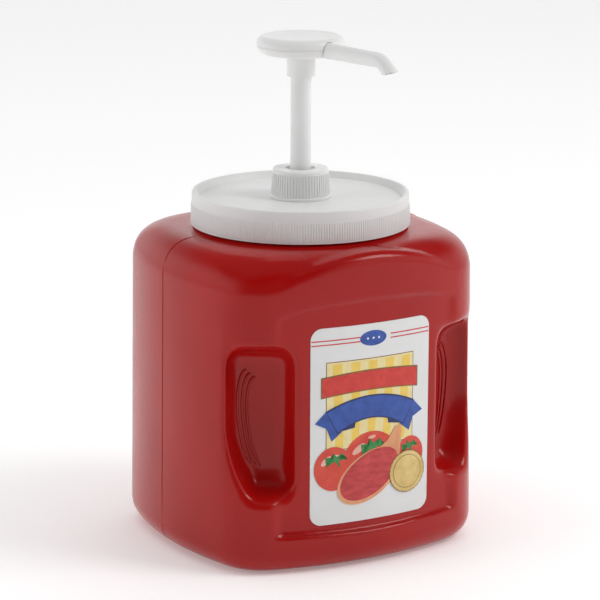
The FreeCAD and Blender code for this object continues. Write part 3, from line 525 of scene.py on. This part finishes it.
def label_art():
    """Plain fruit-and-sauce print: stripes, a yellow panel, two blank banners and a gold seal."""
    red = ink("red", (0.56, 0.025, 0.02), (0.68, 0.05, 0.035))
    blue = ink("blue", (0.02, 0.06, 0.30), (0.035, 0.10, 0.42))
    navy = ink("navy", (0.008, 0.02, 0.10), (0.012, 0.03, 0.15))
    cream = ink("cream", (0.80, 0.66, 0.30), (0.86, 0.74, 0.40))
    yellow = ink("yellow", (0.83, 0.55, 0.08), (0.88, 0.64, 0.14))
    brown = ink("brown", (0.20, 0.09, 0.02), (0.30, 0.14, 0.04))
    tomato = ink("tomato", (0.60, 0.035, 0.02), (0.74, 0.09, 0.05), 110)
    shine = ink("shine", (0.80, 0.36, 0.28), (0.88, 0.55, 0.46))
    sauce = ink("sauce", (0.42, 0.018, 0.025), (0.62, 0.06, 0.06), 160, (1, 1, 2.6))
    wood = ink("wood", (0.66, 0.25, 0.11), (0.82, 0.42, 0.22), 150, (1, 1, 0.3))
    green = ink("green", (0.01, 0.14, 0.03), (0.05, 0.33, 0.08), 500)
    gold = ink("gold", (0.55, 0.36, 0.09), (0.80, 0.60, 0.24), 90)
    half = LABEL_HALF - 0.3
    printed("label_stripes", red, [
        box_of(-half, 117.6, -7.2, 118.2), box_of(-half, 115.5, -7.2, 116.1),
        box_of(9.8, 117.6, half, 118.2), box_of(9.8, 115.5, half, 116.1)], 1, 0.0)
    printed("label_lozenge", blue, [ring(1.3, 116.9, 7.6, 3.9)], 1)
    dots = [ring(1.3 + 3.2 * step, 116.9, 0.55, 0.55, 14) for step in (-1, 0, 1)]
    printed("label_dots", ink("white", (0.8, 0.8, 0.8), (0.86, 0.86, 0.86)), dots, 2)
    printed("label_panel_edge", brown, [box_of(-24.6, 61.6, 25.6, 106.9)], 1)
    printed("label_panel", cream, [box_of(-24.2, 62.0, 25.2, 106.5)], 2)
    rays = []
    for ray in range(5):
        u = -20.4 + 9.9 * ray
        rays.append([(u - 1.0 + 0.10 * (0.5 - u), 63.0), (u + 3.0 + 0.10 * (0.5 - u), 63.0),
                     (u + 4.4, 105.6), (u - 0.6, 105.6)])
    printed("label_rays", yellow, rays, 3)
    printed("label_band_edge", brown, [arch(-27.3, 28.3, 88.6, 99.2, 1.9)], 4)
    printed("label_band", red, [arch(-26.6, 27.6, 89.3, 98.5, 1.9)], 5)
    tails = [
        [(-30.4, 76.2), (-24.4, 82.0), (-15.5, 78.0), (-16.2, 70.6), (-21.6, 66.4), (-24.3, 73.2)],
        [(31.6, 75.9), (25.6, 82.0), (16.5, 78.0), (17.4, 70.6), (23.2, 66.4), (25.7, 73.2)]]
    printed("label_ribbon_tails", blue, tails, 5)
    folds = [[(-17.0, 71.0), (-8.4, 75.6), (-9.0, 72.2)], [(18.0, 71.0), (9.8, 75.6), (10.4, 72.2)]]
    printed("label_ribbon_folds", navy, folds, 5)
    printed("label_ribbon_edge", navy, [arch(-24.9, 26.1, 70.0, 81.9, 6.1, tuck=6.3)], 6)
    printed("label_ribbon", blue, [arch(-24.3, 25.5, 70.7, 81.2, 6.1, tuck=6.0)], 7)
    printed("label_tomatoes_back", tomato, [
        ring(0.6, 54.6, 15.6, 14.6), ring(24.0, 53.8, 8.4, 9.4)], 4)
    printed("label_tomato_front", tomato, [ring(-20.4, 52.2, 10.4, 11.3)], 5)
    shines = [ring(-24.4, 56.6, 3.4, 1.5, 20, 0.7), ring(-18.0, 58.2, 2.6, 1.0, 20, -0.3),
              ring(-6.6, 60.8, 4.2, 1.7, 20, 0.6), ring(0.8, 66.2, 2.2, 0.9, 20, 0.1),
              ring(21.2, 58.4, 2.4, 0.9, 20, 0.5)]
    printed("label_shines", shine, shines, 6)
    printed("label_calyxes", green, [
        calyx(-19.2, 57.4, 4.6), calyx(1.4, 62.0, 5.4), calyx(23.6, 58.6, 3.8)], 7)
    handle = [(4.6, 59.6), (10.2, 63.4), (14.6, 69.6), (17.8, 70.2),
              (18.6, 67.0), (16.8, 62.0), (17.4, 54.0), (8.0, 52.0)]
    printed("label_spoon", wood, [ring(-0.6, 46.4, 19.4, 11.8, 48, 0.52)], 7)
    printed("label_spoon_handle", wood, [handle], 8)
    printed("label_sauce", sauce, [ring(-0.2, 47.2, 18.2, 10.6, 48, 0.52)], 9)
    printed("label_seal_edge", brown, [scallop(22.2, 45.2, 10.9)], 10)
    printed("label_seal", gold, [scallop(22.2, 45.2, 10.5)], 11)
    printed("label_seal_ring", brown, [ring(22.2, 45.2, 8.7, 8.7, 60)], 12)
    printed("label_seal_middle", gold, [ring(22.2, 45.2, 8.4, 8.4, 60)], 13)


# ---- camera, light and floor ---------------------------------------------------------------
CAMERA_LENS = 173.74         # millimetres, on a 36 mm sensor
CAMERA_AT = (-0.72229, -1.25503, 0.46876)
CAMERA_AZIMUTH = math.radians(29.921)
CAMERA_PITCH = math.radians(13.52)
CAMERA_ROLL = 0.00447        # radians
BEHIND_CAMERA = (-0.52, -0.82, 0.22)     # direction from the object, one unit long


def camera():
    """Camera in front and to the left, level with the pump, looking a little down."""
    data = bpy.data.cameras.new("camera")
    data.lens = CAMERA_LENS
    data.sensor_width = 36.0
    data.clip_end = 20.0
    thing = bpy.data.objects.new("camera", data)
    bpy.context.scene.collection.objects.link(thing)
    azimuth, pitch, roll = CAMERA_AZIMUTH, CAMERA_PITCH, CAMERA_ROLL
    forward = Vector((math.sin(azimuth) * math.cos(pitch),
                      math.cos(azimuth) * math.cos(pitch), -math.sin(pitch)))
    right = Vector((math.cos(azimuth), -math.sin(azimuth), 0))
    up = right.cross(forward)
    turn, lean = math.cos(roll), math.sin(roll)
    right, up = right * turn + up * lean, up * turn - right * lean
    rotation = Matrix((right, up, -forward)).transposed()
    thing.matrix_world = Matrix.Translation(CAMERA_AT) @ rotation.to_4x4()
    bpy.context.scene.camera = thing


def soft_light(name, location, target, size, power):
    """Square light aimed at a point."""
    data = bpy.data.lights.new(name, "AREA")
    data.size = size
    data.energy = power
    thing = bpy.data.objects.new(name, data)
    bpy.context.scene.collection.objects.link(thing)
    thing.location = location
    thing.rotation_euler = (Vector(target) - Vector(location)).to_track_quat("-Z", "Y").to_euler()
    return thing


def fading(tree, direction, towards, start, end, before, after):
    """Brightness that fades from before to after as the direction turns towards a unit vector."""
    facing = tree.nodes.new("ShaderNodeVectorMath")
    facing.operation = "DOT_PRODUCT"
    facing.inputs[1].default_value = towards
    tree.links.new(direction, facing.inputs[0])
    level = tree.nodes.new("ShaderNodeMapRange")
    level.interpolation_type = "SMOOTHSTEP"
    for socket, value in (("From Min", start), ("From Max", end),
                          ("To Min", before), ("To Max", after)):
        level.inputs[socket].default_value = value
    tree.links.new(facing.outputs["Value"], level.inputs["Value"])
    return level.outputs["Result"]


def studio():
    """Pale floor, white surroundings that are darker behind the camera, and soft lights."""
    scene = bpy.context.scene
    scene.view_settings.view_transform = "Standard"
    world = bpy.data.worlds.new("studio")
    world.use_nodes = True
    tree = world.node_tree
    direction = tree.nodes.new("ShaderNodeTexCoord").outputs["Generated"]
    behind = fading(tree, direction, BEHIND_CAMERA, 0.50, 0.92, 1.0, 0.12)
    above = fading(tree, direction, (0, 0, 1), 0.25, 0.65, 1.0, 0.12)
    both = tree.nodes.new("ShaderNodeMath")
    both.operation = "MULTIPLY"
    tree.links.new(behind, both.inputs[0])
    tree.links.new(above, both.inputs[1])
    tree.links.new(both.outputs[0], tree.nodes["Background"].inputs["Strength"])
    tree.nodes["Background"].inputs["Color"].default_value = (1, 1, 1, 1)
    scene.world = world
    half = 6.0
    corners = [(-half, -half, 0), (half, -half, 0), (half, half, 0), (-half, half, 0)]
    mesh = bpy.data.meshes.new("floor")
    mesh.from_pydata(corners, [], [(0, 1, 2, 3)])
    floor = bpy.data.objects.new("floor", mesh)
    scene.collection.objects.link(floor)
    floor.location.z = -0.0002
    material, _, shader = new_material("floor", (0.98, 0.98, 0.98), 0.7, Specular_IOR_Level=0.1,
                                  Emission_Strength=0.2)
    shader.inputs["Emission Color"].default_value = (1, 1, 1, 1)
    mesh.materials.append(material)
    floor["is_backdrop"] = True
    soft_light("key", (0.9, -0.9, 1.3), (0, 0, 0.12), 0.7, 9)
    overhead = soft_light("overhead", (0.6, 1.0, 3.0), (0.6, 1.0, 0), 6.0, 90)
    overhead.visible_glossy = False
    left = soft_light("left", (-1.5, 0.3, 0.7), (0, 0, 0.18), 0.8, 4)
    left.visible_glossy = False


def main():
    """Everything in the scene."""
    camera()
    studio()
    made = paint_nodes()
    jug = soft_jug(made["jug_plastic"])
    find = surface_finder(jug)
    grip_ribs(find, made["jug_plastic"])
    parting_line(find, made["jug_plastic"])
    lid_ribs(made["lid_plastic"])
    label_art()


main()

boxes = {"cad": CAD_BOX, "visual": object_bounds()}
{name: [list(corner) for corner in box] for name, box in boxes.items()}
